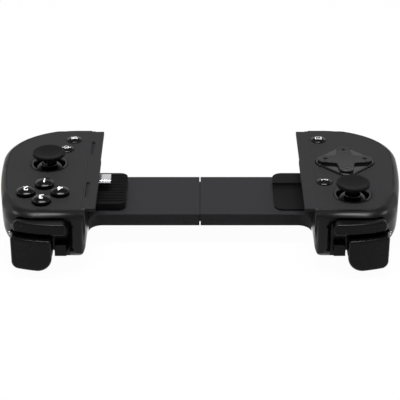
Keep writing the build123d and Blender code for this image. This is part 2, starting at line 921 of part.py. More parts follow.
def build_side_key():
    cap = block(side_key_x, (side_key_front_y, recess_floor_y - side_key_travel - part_gap), side_key_z)
    front = cap.faces().sort_by(Axis.Y)[0]
    cap = fillet(front.edges(), side_key_round)
    x, z = sum(side_key_x) / 2, sum(side_key_z) / 2
    half = side_key_stem_half
    stem_end = shoulder_board_y - shoulder_switch_reach - side_key_travel - running_gap
    stem_y = (side_key_front_y + side_key_round, stem_end)
    cap += block((x - half, x + half), stem_y, (z - half, z + half))
    return cap


def build_shoulder_board():
    """The upright board behind the recess, with a switch for the bumper and one for the side key."""
    thick = board_thick
    left_x = recess_x - recess_wall + key_gap
    well_x = trigger_x[0] - well_gap - well_wall - key_gap
    end_x = bumper_pivot[0] - bumper_block_half - key_gap
    low = well_top + well_wall + key_gap
    y = (shoulder_board_y, shoulder_board_y + thick)
    top = -plate_thick - ledge_thick - key_gap - button_travel
    board = block((left_x, end_x), y, (low, top))
    board += block((left_x, well_x), y, (side_key_z[0], top))
    nub_z = (bumper_top + bumper_low) / 2
    key = (sum(side_key_x) / 2, sum(side_key_z) / 2)
    for x, z in ((bumper_nub_x, nub_z), key):
        half = side_key_stem_half
        depth = (shoulder_board_y - shoulder_switch_reach, y[0])
        board += block((x - half, x + half), depth, (z - half, z + half))
    return board


def trigger_side_face():
    """The trigger's outline from the side, in Y and Z."""
    pivot_y, pivot_z = trigger_pivot
    front = trigger_front[0][1] - trigger_round
    points = [
        (front, trigger_top),
        (front, trigger_low),
        (trigger_lip_y, trigger_low),
        (trigger_back_y, trigger_knee_z),
        (trigger_back_y, pivot_z - trigger_root_radius),
        (pivot_y, pivot_z - trigger_root_radius),
        (pivot_y, trigger_top),
    ]
    return Polygon(*points, align=None) + Pos(pivot_y, pivot_z) * Circle(trigger_root_radius)


def trigger_shoulder_face():
    """The trigger's outline seen from the shoulder side, in X and Z."""
    width = trigger_x[1] - trigger_x[0]
    height = trigger_top - trigger_low
    face = Pos(trigger_x[0] + width / 2, trigger_low + height / 2) * Rectangle(width, height)
    face = fillet(face.vertices().group_by(Axis.Y)[0].sort_by(Axis.X)[0], trigger_inner_round)
    face = fillet(face.vertices().group_by(Axis.Y)[0].sort_by(Axis.X)[-1], trigger_outer_round)
    return fillet(face.vertices().group_by(Axis.Y)[-1], trigger_round)


def build_trigger():
    low, high = trigger_x
    side = extrude(Plane.YZ * trigger_side_face(), high)
    side = side & block((low, high), (-body_depth, 0), (-2 * rest_drop, 0))
    plan = upright(arc_front_face(trigger_front, 0), trigger_low, 0)
    form = side & plan & extrude(Plane.XZ * trigger_shoulder_face(), body_depth)
    form = fillet(edges_before(form, trigger_lip_y - trigger_round), trigger_round)
    y, z = trigger_pivot
    form -= rod_x(y, z, (0, half_width), trigger_pin_radius + running_gap)
    turns = spring_turns * spring_pitch / 2 + 2 * spring_wire + key_gap
    form -= rod_x(y, z, (spring_x - turns, spring_x + turns), spring_pocket_radius)
    return form


def build_trigger_pin():
    well_low, well_high = trigger_x[0] - well_gap, trigger_x[1] + well_gap
    x = (well_low - well_wall + trigger_pin_inset, well_high + trigger_pin_inset - running_gap)
    return rod_x(*trigger_pivot, x, trigger_pin_radius)


def build_trigger_spring():
    """A torsion spring round the trigger's pin."""
    y, z = trigger_pivot
    height = spring_turns * spring_pitch
    start = (spring_x - height / 2, y, z)
    path = Helix(spring_pitch, height, spring_radius, center=start, direction=(1, 0, 0))
    profile = Plane(origin=path @ 0, z_dir=path % 0) * Circle(spring_wire)
    return sweep(profile, path=path)


def bridge_hollow(x):
    """The space inside the bridge that the rail slides in."""
    half = rail_half + slide_gap
    z = (bridge_top - bridge_thick + rail_rise - slide_gap, bridge_top - rail_drop + slide_gap)
    return block(x, (-half, half), z)


def tongue_block(gap, start, end):
    """The part of the bridge cover that reaches into the grip."""
    half = rail_half + slide_gap + tongue_side_wall + gap
    low = bridge_top - bridge_thick + rail_rise - slide_gap - tongue_skin - gap
    high = bridge_top - rail_drop + slide_gap + tongue_skin + gap
    return block((start, end), (-half, half), (low, high))


def build_bridge_cover():
    start = bridge_gap / 2
    end = inner_wall_x
    z = (bridge_top - bridge_thick, bridge_top)
    plan = Pos((start + end) / 2, 0) * Rectangle(end - start, 2 * bridge_half)
    for way in (-1, 1):
        corner = way * (bridge_half + flare_radius)
        flare = Pos(end - flare_radius / 2, way * (bridge_half + flare_radius / 2))
        flare *= Rectangle(flare_radius, flare_radius)
        plan += flare - Pos(end - flare_radius, corner) * Circle(flare_radius)
    cover = upright(plan, *z)
    rims = edges_at(cover, z[1]) + edges_at(cover, z[0])
    rims = [e for e in rims if start + running_gap < e.center().X < end - running_gap]
    cover = fillet(rims, bridge_edge)
    cover += tongue_block(0, end - flare_radius, tongue_x)
    cover -= bridge_hollow((start - overrun, tongue_x - tongue_end_wall))
    stop_top = z[1] - rail_drop - stop_skin - slide_gap
    stop = post((stop_x, 0), (z[0] + rail_rise / 2, stop_top), stop_radius)
    return cover + stop


def build_slide_rail():
    """The plate inside the bridge: stop grooves underneath and closed spring lanes."""
    z = (bridge_top - bridge_thick + rail_rise, bridge_top - rail_drop)
    rail = block((-rail_half_length, rail_half_length), (-rail_half, rail_half), z)
    slack = stop_radius + key_gap
    middle = sum(z) / 2
    for way in (-1, 1):
        groove = SlotOverall(bridge_travel + 2 * slack, 2 * slack)
        place = Pos(way * (stop_x + bridge_travel / 2), 0)
        rail -= upright(place * groove, z[0] - rail_rise, z[1] - stop_skin)
        for lane in (-bridge_spring_y, bridge_spring_y):
            spring = (way * spring_slot_start, way * (rail_half_length + overrun))
            side = (lane - spring_slot_half, lane + spring_slot_half)
            height = (middle - spring_slot_half, middle + spring_slot_half)
            rail -= block(spring, side, height)
    return rail


def build_bridge_springs(way):
    """The pair of pull springs between the rail and one grip."""
    z = bridge_top - rail_drop / 2 - bridge_thick / 2 + rail_rise / 2
    x = (spring_slot_start + part_gap, tongue_x - tongue_end_wall - part_gap)
    springs = []
    for lane in (-bridge_spring_y, bridge_spring_y):
        coil = rod_x(lane, z, x, bridge_spring_radius)
        coil -= rod_x(lane, z, x, bridge_spring_radius - bridge_spring_wire)
        springs.append(coil if way > 0 else mirror(coil, about=Plane.YZ))
    return springs


def build_ribbed_pad():
    """The phone's rest beside the plug, with fine ribs along the phone."""
    low_x, high_x = phone_pad_x, inner_wall_x - pad_wall_gap
    length = high_x - low_x
    plan = Pos(low_x + length / 2 + phone_pad_corner, 0) * RectangleRounded(
        length + 2 * phone_pad_corner, 2 * phone_pad_half, phone_pad_corner
    )
    plan = plan & Pos(low_x + length / 2, 0) * Rectangle(length, body_depth)
    pad = upright(plan, bridge_top, phone_pad_top)
    count = int(2 * (phone_pad_half - phone_pad_corner / 2) / rib_pitch)
    for index in range(count):
        y = (index - (count - 1) / 2) * rib_pitch
        groove = (y - rib_groove / 2, y + rib_groove / 2)
        pad -= block((low_x - overrun, high_x + overrun), groove, (phone_pad_top - rib_depth, overrun))
    return pad


def build_stepped_pad():
    """The phone's rest on the other grip, stepped down to clear a camera bump."""
    low_x, high_x = phone_pad_x, inner_wall_x - pad_wall_gap
    length = high_x - low_x
    plan = Pos(low_x + length / 2 + low_pad_corner, 0) * RectangleRounded(
        length + 2 * low_pad_corner, 2 * phone_pad_half, low_pad_corner
    )
    plan = plan & Pos(low_x + length / 2, 0) * Rectangle(length, body_depth)
    pad = upright(plan, bridge_top, phone_pad_top)
    return pad - block((0, half_width), (-half_depth, low_pad_y), (low_pad_top, overrun))


def boot_block(gap, start, end):
    """The moulded block that carries the plug."""
    section = RectangleRounded(boot_width + 2 * gap, boot_thick + 2 * gap, boot_round)
    return extrude(Plane.YZ * Pos(plug_y, plug_z, start) * section, end - start)


def build_plug_boot():
    face = plug_tip_x + plug_reach
    boot = boot_block(0, face, boot_end_x)
    place = Plane.YZ * Pos(plug_y, plug_z, face)
    boot -= extrude(place * SlotOverall(plug_width, plug_thick), plug_seat)
    tongue = block(
        (face, boot_end_x),
        (plug_y - tongue_width / 2, plug_y + tongue_width / 2),
        (plug_z - tongue_thick / 2, plug_z + tongue_thick / 2),
    )
    return boot - tongue


def build_plug_shell():
    length = plug_reach + plug_seat
    start = Plane.YZ * Pos(plug_y, plug_z, plug_tip_x)
    outside = extrude(start * SlotOverall(plug_width, plug_thick), length)
    inside = SlotOverall(plug_width - 2 * plug_wall, plug_thick - 2 * plug_wall)
    return outside - extrude(start * inside, length)


def build_plug_tongue():
    return block(
        (plug_tip_x + tongue_recess, boot_end_x),
        (plug_y - tongue_width / 2, plug_y + tongue_width / 2),
        (plug_z - tongue_thick / 2, plug_z + tongue_thick / 2),
    )


def build_grip(side, shell):
    """Every piece of one grip, on the +X side, by name."""
    stick = stick_spot[side]
    travel = button_travel + running_gap
    pieces = {
        "faceplate": build_faceplate(side),
        "housing": build_housing(side, shell),
        "palm_cover": build_palm_cover(shell),
        "case_screws": build_case_screws(),
        "main_board": build_main_board(side),
        "switches": build_switches(side),
        "shoulder_board": build_shoulder_board(),
        "stick_ring": build_stick_ring(stick),
        "stick_base": build_stick_base(stick),
        "stick_cap": build_stick_cap(stick),
        "stick_yoke": build_stick_yoke(stick),
        "stick_carrier": build_stick_carrier(stick),
        "stick_module": build_stick_module(stick),
        "bumper": build_bumper(),
        "side_key": build_side_key(),
        "trigger": build_trigger(),
        "trigger_pin": build_trigger_pin(),
        "trigger_spring": build_trigger_spring(),
        "bridge_cover": build_bridge_cover(),
    }
    for place, spot in key_spots[side].items():
        pieces[f"{place}_key"] = build_push_key(spot, key_radius, key_stand, key_crown, travel)
    if side == "right":
        for number, spot in enumerate(button_places(), start=1):
            key = build_push_key(spot, button_radius, button_stand, button_crown, travel)
            pieces[f"button_{number}"] = key
        pieces["phone_pad"] = build_ribbed_pad()
        pieces["plug_boot"] = build_plug_boot()
        pieces["plug_shell"] = build_plug_shell()
        pieces["plug_tongue"] = build_plug_tongue()
    else:
        pieces["phone_pad"] = build_stepped_pad()
        pieces["direction_pad"] = build_direction_pad()
        pieces["pad_ball"] = build_pad_ball()
        pieces["pad_post"] = build_pad_post()
    return pieces


def save(name, shape):
    """Moves a piece into the object's own frame and writes it."""
    place = Pos(0, (trigger_reach + half_depth - back_y) / 2, rest_drop)
    solids = []
    for item in shape if isinstance(shape, list) else [shape]:
        solids += (place * item).solids()
    whole = Compound(children=solids) if len(solids) > 1 else solids[0]
    export_step(whole, os.path.join("parts", f"{name}.step"))


def main():
    os.makedirs("parts", exist_ok=True)
    shell = build_shell()
    for side in ("left", "right"):
        for name, shape in build_grip(side, shell).items():
            group = shape if isinstance(shape, list) else [shape]
            if side == "right":
                group = [mirror(item, about=Plane.YZ) for item in group]
            save(f"{side}_{name}", group)
    save("slide_rail", build_slide_rail())
    save("left_bridge_springs", build_bridge_springs(1))
    save("right_bridge_springs", build_bridge_springs(-1))


main()
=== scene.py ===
"""Looks of a telescoping phone game controller, round its fixed frame, laid out as a Blender add-on."""

import json
import math

import bmesh
import bpy
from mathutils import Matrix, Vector


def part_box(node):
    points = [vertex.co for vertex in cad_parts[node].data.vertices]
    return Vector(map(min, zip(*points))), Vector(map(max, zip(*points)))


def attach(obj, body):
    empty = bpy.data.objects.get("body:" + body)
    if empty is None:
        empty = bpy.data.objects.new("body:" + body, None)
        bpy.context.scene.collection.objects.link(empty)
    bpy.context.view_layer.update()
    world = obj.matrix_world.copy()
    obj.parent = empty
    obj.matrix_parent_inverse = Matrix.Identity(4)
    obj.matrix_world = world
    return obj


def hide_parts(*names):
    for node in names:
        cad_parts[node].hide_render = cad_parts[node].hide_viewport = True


bl_info = {
    "name": "Phone Game Controller",
    "version": (1, 0, 0),
    "blender": (4, 5, 0),
    "location": "3D View > Sidebar > Controller",
    "description": "Builds the controller's surfaces and its studio round a fixed frame",
    "category": "Object",
}

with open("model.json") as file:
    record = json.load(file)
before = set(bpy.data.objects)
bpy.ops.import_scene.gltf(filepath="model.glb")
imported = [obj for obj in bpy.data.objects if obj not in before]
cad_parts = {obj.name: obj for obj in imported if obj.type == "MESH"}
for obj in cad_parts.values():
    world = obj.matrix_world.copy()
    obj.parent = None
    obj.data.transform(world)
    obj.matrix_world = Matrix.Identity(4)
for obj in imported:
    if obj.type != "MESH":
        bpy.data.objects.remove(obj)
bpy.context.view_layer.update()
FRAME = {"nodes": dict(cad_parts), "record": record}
SIDES = ("left", "right")
MM = 0.001

SPECK = 0.001 * MM  # points nearer than this are one point
FLAT_TURN = math.radians(0.3)  # faces that turn less than this are one flat face
EDGE_TURN = 32.0  # degrees past which an edge of a dressed node stays sharp

# Sockets of a Mix node that mixes colours, which share their names with others
MIX_FIRST, MIX_SECOND, MIX_RESULT = 6, 7, 2

# Numerals and signs
CAP_SHARE = 0.7  # height of a numeral, as a share of the font's size
BOLDER = 0.02  # how far its outline is pushed out, as a share of its height
NUMERAL_CELLS = 5  # mesh edges up its height, where it bends over a dome
SIGN_CELL = 0.7 * MM  # longest edge of a sign's mesh
DRAPE_PASSES = 4  # most times that a mesh is cut finer
STROKE = 0.42 * MM  # width of a sign's lines

# Ribs of the phone's rest
ROUND_SHARE = 0.48  # rounding of a rib's edges, as a share of its height
ROUND_STEPS = 4  # faces round each edge

# Lamps, in metres: where they stand, what they point at and how large they are
TOP_LAMP_PLACE = (0, -0.02, 0.74)
TOP_LAMP_TARGET = (0, 0, 0)
TOP_LAMP_SIZE = (0.5, 0.26)
SIDE_LAMP_PLACE = (0.62, 0.1, 0.5)
SIDE_LAMP_TARGET = (0, 0, 0.02)
SIDE_LAMP_SIZE = (0.12, 0.12)

SENSOR_WIDTH = 36.0  # the camera's, in millimetres

# Paper floor
FLOOR_MIDDLE = 0.35  # radius of its first ring, in metres
FLOOR_SIDES = 96
FLOOR_STEPS = 8  # steps up its curved edge
FLOOR_WHITE = 0.97  # share of pure white in what the camera and reflections see of it


def slot_of(node):
    """The record's material slot of a frame node."""
    for part in FRAME["record"]["subparts"]:
        if part["node"] == node:
            return part["material_slot"]
    raise KeyError(node)


def body_of(node):
    """The body that a frame node moves with."""
    for body, members in FRAME["record"]["behaviour"]["bodies"].items():
        if node in members:
            return body
    raise KeyError(node)


# Materials


def hex_colour(text):
    """A linear colour from an sRGB hex value."""
    values = [int(text[i : i + 2], 16) / 255 for i in (1, 3, 5)]
    linear = [v / 12.92 if v <= 0.04045 else ((v + 0.055) / 1.055) ** 2.4 for v in values]
    return (*linear, 1.0)


def add_node(tree, kind, settings=None, inputs=None):
    """Adds a node, sets it up, and links or fills its inputs."""
    made = tree.nodes.new(kind)
    for key, value in (settings or {}).items():
        setattr(made, key, value)
    for key, value in (inputs or {}).items():
        if isinstance(value, bpy.types.NodeSocket):
            tree.links.new(value, made.inputs[key])
        else:
            made.inputs[key].default_value = value
    return made


def cleared(owner):
    """The emptied node tree of a material or a world."""
    owner.use_nodes = True
    owner.node_tree.nodes.clear()
    return owner.node_tree


def new_material(name, **shader_inputs):
    """A material with one Principled shader, and the pieces to build on."""
    material = bpy.data.materials.new(name)
    tree = cleared(material)
    shader = add_node(tree, "ShaderNodeBsdfPrincipled", inputs=shader_inputs)
    add_node(tree, "ShaderNodeOutputMaterial", inputs={"Surface": shader.outputs["BSDF"]})
    place = add_node(tree, "ShaderNodeTexCoord").outputs["Object"]
    return material, tree, shader, place


def grain(tree, place, size, detail=2.0):
    """Fine noise whose grains are about a size across."""
    noise = add_node(
        tree,
        "ShaderNodeTexNoise",
        inputs={"Vector": place, "Scale": 1 / size, "Detail": detail, "Roughness": 0.55},
    )
    return noise.outputs["Fac"]


def spread(tree, value, low, high):
    """Maps noise from its usual range to two limits."""
    made = add_node(
        tree,
        "ShaderNodeMapRange",
        inputs={"Value": value, "From Min": 0.3, "From Max": 0.7, "To Min": low, "To Max": high},
    )
    return made.outputs["Result"]


def bumped(tree, shader, height, depth):
    """Gives a shader a bump of a real depth in metres."""
    bump = add_node(tree, "ShaderNodeBump", inputs={"Height": height, "Distance": depth, "Strength": 1.0})
    tree.links.new(bump.outputs["Normal"], shader.inputs["Normal"])


def two_tone(tree, shader, factor, first, second):
    """Mixes two colours over the surface by a factor."""
    colours = {MIX_FIRST: hex_colour(first), MIX_SECOND: hex_colour(second)}
    mix = add_node(tree, "ShaderNodeMix", {"data_type": "RGBA"}, {"Factor": factor, **colours})
    tree.links.new(mix.outputs[MIX_RESULT], shader.inputs["Base Color"])


def moulded(name, colours, grain_mm, ior):
    """Moulded plastic without a finish yet: two near colours and a mould texture of a size and depth.

    The real texture is finer than the render shows, so its grains are drawn about half a
    millimetre across.
    """
    size, depth = (value * MM for value in grain_mm)
    material, tree, shader, place = new_material(name, IOR=ior)
    broad = grain(tree, place, 18 * MM, detail=3.0)
    two_tone(tree, shader, broad, *colours)
    bumped(tree, shader, grain(tree, place, size), depth)
    return material, tree, shader, place, broad


def plastic(name, colours, roughness, grain_mm, ior):
    """Moulded plastic whose finish wanders within a band of roughness."""
    material, tree, shader, _, broad = moulded(name, colours, grain_mm, ior)
    tree.links.new(spread(tree, broad, *roughness), shader.inputs["Roughness"])
    return material


def metal(name, colour, roughness, stretch, depth_mm):
    """Bare metal whose fine grain is stretched into lines along one axis, or left even."""
    material, tree, shader, place = new_material(name, Metallic=1.0)
    shader.inputs["Base Color"].default_value = hex_colour(colour)
    lines = add_node(tree, "ShaderNodeMapping", inputs={"Vector": place, "Scale": stretch})
    fine = grain(tree, lines.outputs["Vector"], 0.3 * MM)
    tree.links.new(spread(tree, fine, *roughness), shader.inputs["Roughness"])
    bumped(tree, shader, fine, depth_mm * MM)
    return material


def shell_plastic():
    """ABS from a spark-eroded mould: a fine sandy surface that blurs every highlight."""
    colours = (bpy.context.scene.controller_look.shell_colour, "#080808")
    return plastic("Textured ABS shell", colours, roughness=(0.28, 0.34), grain_mm=(0.45, 0.006), ior=1.28)


def plate_plastic():
    """ABS from a finely blasted mould: flatter than the shell, its black lightened with painted sheen, a
    grey that stands in for the reflection its top catches.
    """
    colours = (bpy.context.scene.controller_look.plate_colour, "#272728")
    return plastic("Satin ABS plate", colours, roughness=(0.5, 0.58), grain_mm=(0.4, 0.006), ior=1.13)


def bridge_plastic():
    """Glass-filled nylon: the plate's colour, lightened with the same painted sheen, and a slightly tighter
    real sheen.
    """
    colours = (bpy.context.scene.controller_look.plate_colour, "#272729")
    return plastic("Satin nylon bridge", colours, roughness=(0.46, 0.54), grain_mm=(0.5, 0.006), ior=1.13)


def gloss_plastic():
    """Polished ABS: deep black with sharp lamp reflections."""
    colours = (bpy.context.scene.controller_look.gloss_colour, "#060606")
    return plastic("Polished ABS", colours, roughness=(0.12, 0.18), grain_mm=(0.6, 0.001), ior=1.3)


def pad_plastic():
    """The direction pad's ABS: a polished skirt under a satin cross that catches an even grey."""
    colours = (bpy.context.scene.controller_look.gloss_colour, "#0c0c0c")
    name = "Two-finish pad ABS"
    material, tree, shader, place, _ = moulded(name, colours, grain_mm=(0.5, 0.003), ior=1.38)
    height = add_node(tree, "ShaderNodeSeparateXYZ", inputs={"Vector": place}).outputs["Z"]
    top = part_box("left_direction_pad")[1][2]
    step = {"From Min": top - 1.3 * MM, "From Max": top - 1.1 * MM}
    finish = {"To Min": 0.12, "To Max": 0.4}
    raised = add_node(tree, "ShaderNodeMapRange", inputs={"Value": height, **step, **finish})
    tree.links.new(raised.outputs["Result"], shader.inputs["Roughness"])
    return material


def shoulder_plastic():
    """Semi-gloss ABS: soft reflections along each rounded edge."""
    colours = (bpy.context.scene.controller_look.shell_colour, "#080808")
    return plastic("Semi-gloss ABS", colours, roughness=(0.24, 0.3), grain_mm=(0.5, 0.004), ior=1.22)


def rail_plastic():
    """Nylon from a smooth mould: black with a dull sheen where it slides."""
    colours = ("#0a0a0a", "#101010")
    return plastic("Black nylon rail", colours, roughness=(0.35, 0.45), grain_mm=(0.5, 0.004), ior=1.4)


def boot_plastic():
    """Soft moulding round the plug's root: dull black."""
    colours = ("#0a0a0a", "#101010")
    return plastic("Black plug moulding", colours, roughness=(0.4, 0.5), grain_mm=(0.4, 0.004), ior=1.35)


def tongue_plastic():
    """Liquid-crystal polymer in the plug's mouth: smooth and dull black."""
    colours = ("#0b0b0b", "#111111")
    return plastic(
        "Black liquid-crystal polymer", colours, roughness=(0.4, 0.5), grain_mm=(0.4, 0.002), ior=1.5
    )


def switch_plastic():
    """Moulded nylon switch bodies: a slightly lighter dull black."""
    colours = ("#131313", "#1a1a1a")
    return plastic("Black nylon switch", colours, roughness=(0.4, 0.5), grain_mm=(0.4, 0.004), ior=1.5)


def gimbal_plastic():
    """Moulded acetal: waxy mid grey."""
    colours = ("#3c3c3e", "#434345")
    return plastic("Grey acetal gimbal", colours, roughness=(0.35, 0.45), grain_mm=(0.4, 0.003), ior=1.48)


def plug_metal():
    """Nickel plate on drawn steel: bright, with faint lines along the plug."""
    return metal(
        "Nickel-plated steel plug", "#d6d6d8", roughness=(0.18, 0.28), stretch=(0.1, 1, 1), depth_mm=0.0005
    )


def screw_metal():
    """Black oxide on steel: dark grey with a soft shine."""
    return metal(
        "Black oxide steel", "#26262a", roughness=(0.35, 0.45), stretch=(1, 1, 1), depth_mm=0.002
    )


def pin_metal():
    """Ground steel: bright, with fine lines along the pin."""
    return metal("Ground steel pin", "#b9b9bd", roughness=(0.2, 0.3), stretch=(0.1, 1, 1), depth_mm=0.001)


def spring_metal():
    """Drawn spring wire: a grey shine."""
    return metal(
        "Drawn spring wire", "#9c9ca0", roughness=(0.28, 0.36), stretch=(1, 1, 1), depth_mm=0.001
    )


def can_metal():
    """Tinned steel sheet: pale grey, with faint upright lines."""
    return metal(
        "Tinned steel can", "#9b9b9d", roughness=(0.3, 0.42), stretch=(1, 1, 0.2), depth_mm=0.002
    )


def rest_rubber():
    """Moulded silicone: dull, with a faint dusty lift at grazing angles."""
    material, tree, shader, place = new_material("Black silicone rest", IOR=1.13)
    broad = grain(tree, place, 9 * MM, detail=3.0)
    two_tone(tree, shader, broad, "#0a0a0a", "#151516")
    tree.links.new(spread(tree, broad, 0.6, 0.7), shader.inputs["Roughness"])
    shader.inputs["Sheen Weight"].default_value = 0.02
    shader.inputs["Sheen Roughness"].default_value = 0.5
    bumped(tree, shader, grain(tree, place, 0.5 * MM), 0.008 * MM)
    return material


def ink():
    """White pad-printed ink: flat, thin and slightly uneven."""
    look = bpy.context.scene.controller_look
    material, tree, shader, place = new_material("White printed ink")
    two_tone(tree, shader, grain(tree, place, 0.3 * MM), look.ink_colour, "#dededc")
    shader.inputs["Roughness"].default_value = 0.5
    return material


def board_laminate():
    """Glass-epoxy board under green solder mask: glossy, with a faint weave below."""
    material, tree, shader, place = new_material("Green circuit board", IOR=1.5)
    weave = add_node(
        tree,
        "ShaderNodeTexWave",
        {"bands_direction": "DIAGONAL"},
        {"Vector": place, "Scale": 1 / (2.4 * MM), "Distortion": 0.4},
    ).outputs["Fac"]
    two_tone(tree, shader, weave, "#0d3a20", "#14492a")
    shader.inputs["Roughness"].default_value = 0.25
    bumped(tree, shader, weave, 0.01 * MM)
    return material


SLOT_MATERIALS = {
    "shell": shell_plastic,
    "plate": plate_plastic,
    "bridge": bridge_plastic,
    "rail": rail_plastic,
    "gloss": gloss_plastic,
    "key": gloss_plastic,
    "shoulder": shoulder_plastic,
    "rubber": rest_rubber,
    "boot": boot_plastic,
    "plug": plug_metal,
    "tongue": tongue_plastic,
    "screw": screw_metal,
    "pin": pin_metal,
    "spring": spring_metal,
    "board": board_laminate,
    "switch": switch_plastic,
    "module": can_metal,
    "gimbal": gimbal_plastic,
    "ink": ink,
    "pad": pad_plastic,
}
_materials = {}


def material_for(slot):
    """The one material of a slot, made when it is first asked for."""
    if slot not in _materials:
        _materials[slot] = SLOT_MATERIALS[slot]()
    return _materials[slot]


# Meshes


def placed(name, data):
    """A new object in the scene."""
    made = bpy.data.objects.new(name, data)
    bpy.context.scene.collection.objects.link(made)
    return made


def finish_piece(mesh, carrier, material=None, replaces=()):
    """Puts a mesh in the scene as a piece with the body and slot of the frame node that carries it."""
    body, slot = body_of(carrier), slot_of(carrier)
    piece = placed(mesh.name, mesh)
    if not mesh.materials:
        mesh.materials.append(material or material_for(slot))
    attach(piece, body)
    for node in replaces:
        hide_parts(node)
    return piece


def smooth(mesh, degrees):
    """Smooths a mesh's shading, but for edges sharper than an angle."""
    mesh.polygons.foreach_set("use_smooth", [True] * len(mesh.polygons))
    mesh.set_sharp_from_angle(angle=math.radians(degrees))


def weigh_normals(piece):
    """Keeps flat faces flat where they run into a rounding."""
    weigh = piece.modifiers.new("Flat faces", "WEIGHTED_NORMAL")
    weigh.mode = "FACE_AREA"
    weigh.keep_sharp = True
    weigh.weight = 80


def dress(node, material=None):
    """Stands a merged and smoothly shaded copy of a frame node in its place."""
    source = FRAME["nodes"][node]
    mesh = bpy.data.meshes.new(f"{node}_surface")
    made = bmesh.new()
    made.from_mesh(source.data)
    bmesh.ops.remove_doubles(made, verts=made.verts, dist=bpy.context.scene.controller_look.weld)
    bmesh.ops.dissolve_limit(
        made, angle_limit=FLAT_TURN, verts=made.verts, edges=made.edges, delimit={"NORMAL"}
    )
    made.to_mesh(mesh)
    made.free()
    mesh.materials.clear()
    smooth(mesh, EDGE_TURN)
    weigh_normals(finish_piece(mesh, node, material, replaces=(node,)))


def paint(node):
    """Gives a frame node the material of its slot."""
    mesh = FRAME["nodes"][node].data
    mesh.materials.clear()
    mesh.materials.append(material_for(slot_of(node)))


def middle(node):
    """The centre of a frame node, and its top."""
    low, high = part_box(node)
    return Vector(((low[0] + high[0]) / 2, (low[1] + high[1]) / 2, high[2]))


def islands(node):
    """The boxes of a frame node's separate solids, in the order of their low corners."""
    made = bmesh.new()
    made.from_mesh(FRAME["nodes"][node].data)
    bmesh.ops.remove_doubles(made, verts=made.verts, dist=SPECK)
    left = set(made.verts)
    boxes = []
    while left:
        queue = [left.pop()]
        found = []
        while queue:
            vert = queue.pop()
            found.append(vert.co.copy())
            near = {edge.other_vert(vert) for edge in vert.link_edges} & left
            left -= near
            queue.extend(near)
        low = Vector([min(co[i] for co in found) for i in range(3)])
        high = Vector([max(co[i] for co in found) for i in range(3)])
        boxes.append((low, high))
    made.free()
    return sorted(boxes, key=lambda box: tuple(box[0]))


# Geometry trees


def new_tree(name, sockets):
    """A geometry tree with named inputs, its group input node, and a way to end it."""
    tree = bpy.data.node_groups.new(name, "GeometryNodeTree")
    tree.is_modifier = True
    tree.interface.new_socket("Geometry", in_out="INPUT", socket_type="NodeSocketGeometry")
    for label, kind in sockets.items():
        tree.interface.new_socket(label, in_out="INPUT", socket_type=f"NodeSocket{kind}")
    tree.interface.new_socket("Material", in_out="INPUT", socket_type="NodeSocketMaterial")
    tree.interface.new_socket("Geometry", in_out="OUTPUT", socket_type="NodeSocketGeometry")
    return tree, add_node(tree, "NodeGroupInput").outputs


def end_tree(tree, geometry, given):
    """Ends a tree in real geometry with its material."""
    real = add_node(tree, "GeometryNodeRealizeInstances", inputs={"Geometry": geometry})
    clad = add_node(
        tree,
        "GeometryNodeSetMaterial",
        inputs={"Geometry": real.outputs["Geometry"], "Material": given["Material"]},
    )
    add_node(tree, "NodeGroupOutput", inputs={"Geometry": clad.outputs["Geometry"]})


def grown(name, tree, values, points=()):
    """The plain mesh that a tree makes from its values and a few points."""
    seed = bpy.data.meshes.new(name)
    seed.from_pydata([tuple(point) for point in points], [], [])
    holder = placed(name, seed)
    step = holder.modifiers.new(tree.name, "NODES")
    step.node_group = tree
    for item in tree.interface.items_tree:
        if item.name in values and item.in_out == "INPUT":
            step[item.identifier] = values[item.name]
    graph = bpy.context.evaluated_depsgraph_get()
    mesh = bpy.data.meshes.new_from_object(holder.evaluated_get(graph))
    holder.modifiers.remove(step)
    bpy.data.objects.remove(holder)
    bpy.data.meshes.remove(seed)
    mesh.name = name
    return mesh


def rib_tree():
    """Rounded bars side by side."""
    sizes = dict.fromkeys(("Pitch", "Width", "Height", "Length"), "Float")
    tree, given = new_tree("Rest ribs", {"Count": "Int", **sizes, "Start": "Vector"})
    offset = add_node(tree, "ShaderNodeCombineXYZ", inputs={"Y": given["Pitch"]})
    line = add_node(
        tree,
        "GeometryNodeMeshLine",
        inputs={
            "Count": given["Count"],
            "Start Location": given["Start"],
            "Offset": offset.outputs["Vector"],
        },
    )
    end = add_node(tree, "ShaderNodeCombineXYZ", inputs={"X": given["Length"]})
    path = add_node(tree, "GeometryNodeCurvePrimitiveLine", inputs={"End": end.outputs["Vector"]})
    section = add_node(
        tree,
        "GeometryNodeCurvePrimitiveQuadrilateral",
        inputs={"Width": given["Width"], "Height": given["Height"]},
    )
    rounding = {0: given["Height"], 1: ROUND_SHARE}
    radius = add_node(tree, "ShaderNodeMath", {"operation": "MULTIPLY"}, rounding)
    section = add_node(
        tree,
        "GeometryNodeFilletCurve",
        {"mode": "POLY"},
        {"Curve": section.outputs["Curve"], "Radius": radius.outputs["Value"], "Count": ROUND_STEPS},
    )
    bar_mesh = add_node(
        tree,
        "GeometryNodeCurveToMesh",
        inputs={
            "Curve": path.outputs["Curve"],
            "Profile Curve": section.outputs["Curve"],
            "Fill Caps": True,
        },
    )
    ribs = add_node(
        tree,
        "GeometryNodeInstanceOnPoints",
        inputs={"Points": line.outputs["Mesh"], "Instance": bar_mesh.outputs["Mesh"]},
    )
    end_tree(tree, ribs.outputs["Instances"], given)
    return tree


